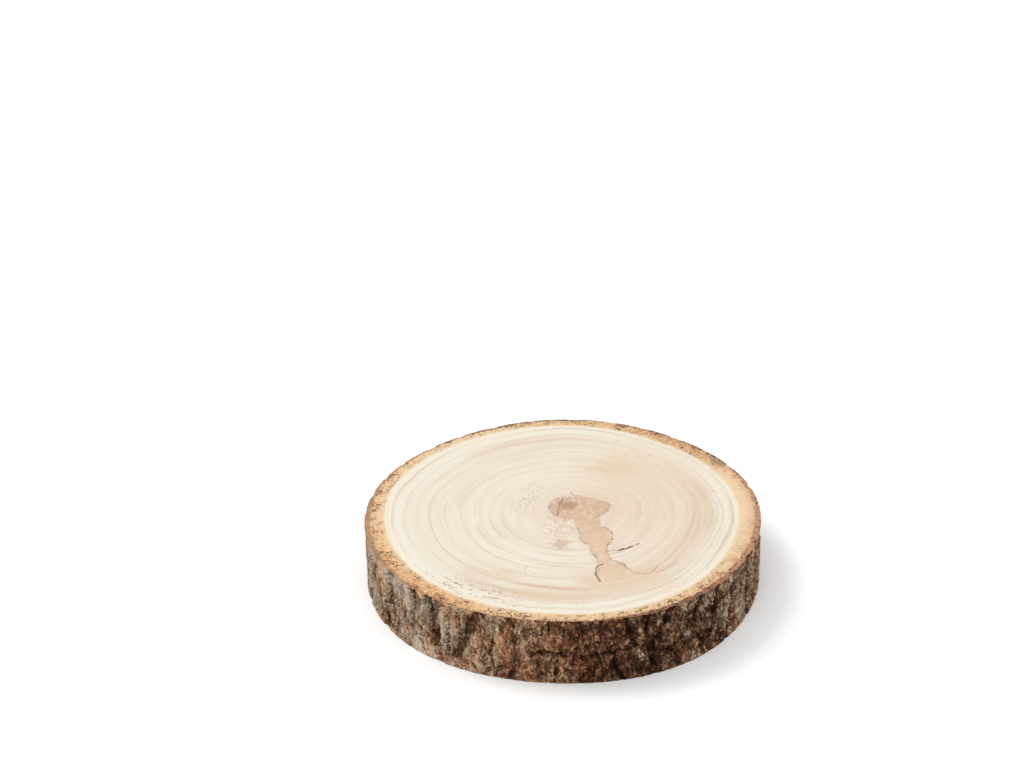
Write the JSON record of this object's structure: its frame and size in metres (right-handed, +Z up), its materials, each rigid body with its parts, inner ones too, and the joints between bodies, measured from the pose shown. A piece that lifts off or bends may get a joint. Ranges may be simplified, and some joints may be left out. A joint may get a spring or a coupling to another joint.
{
  "type": "wood slice",
  "caption": "Thick round slice sawn across a small tree trunk, flat on both faces, with furrowed bark left round its edge.",
  "frame": {"origin": "middle of the underside, under the middle of the slice's bounding box", "axes": "+Z up along the trunk, square to both sawn faces; +X and +Y lie in the underside, and -Y is the edge shown nearest"},
  "size_m": [0.2012, 0.2, 0.035],
  "materials": {
    "wood_and_bark": "matte, fine-sawn"
  },
  "bodies": {
    "root": {"wood_slice": "wood_and_bark"}
  },
  "joints": []
}
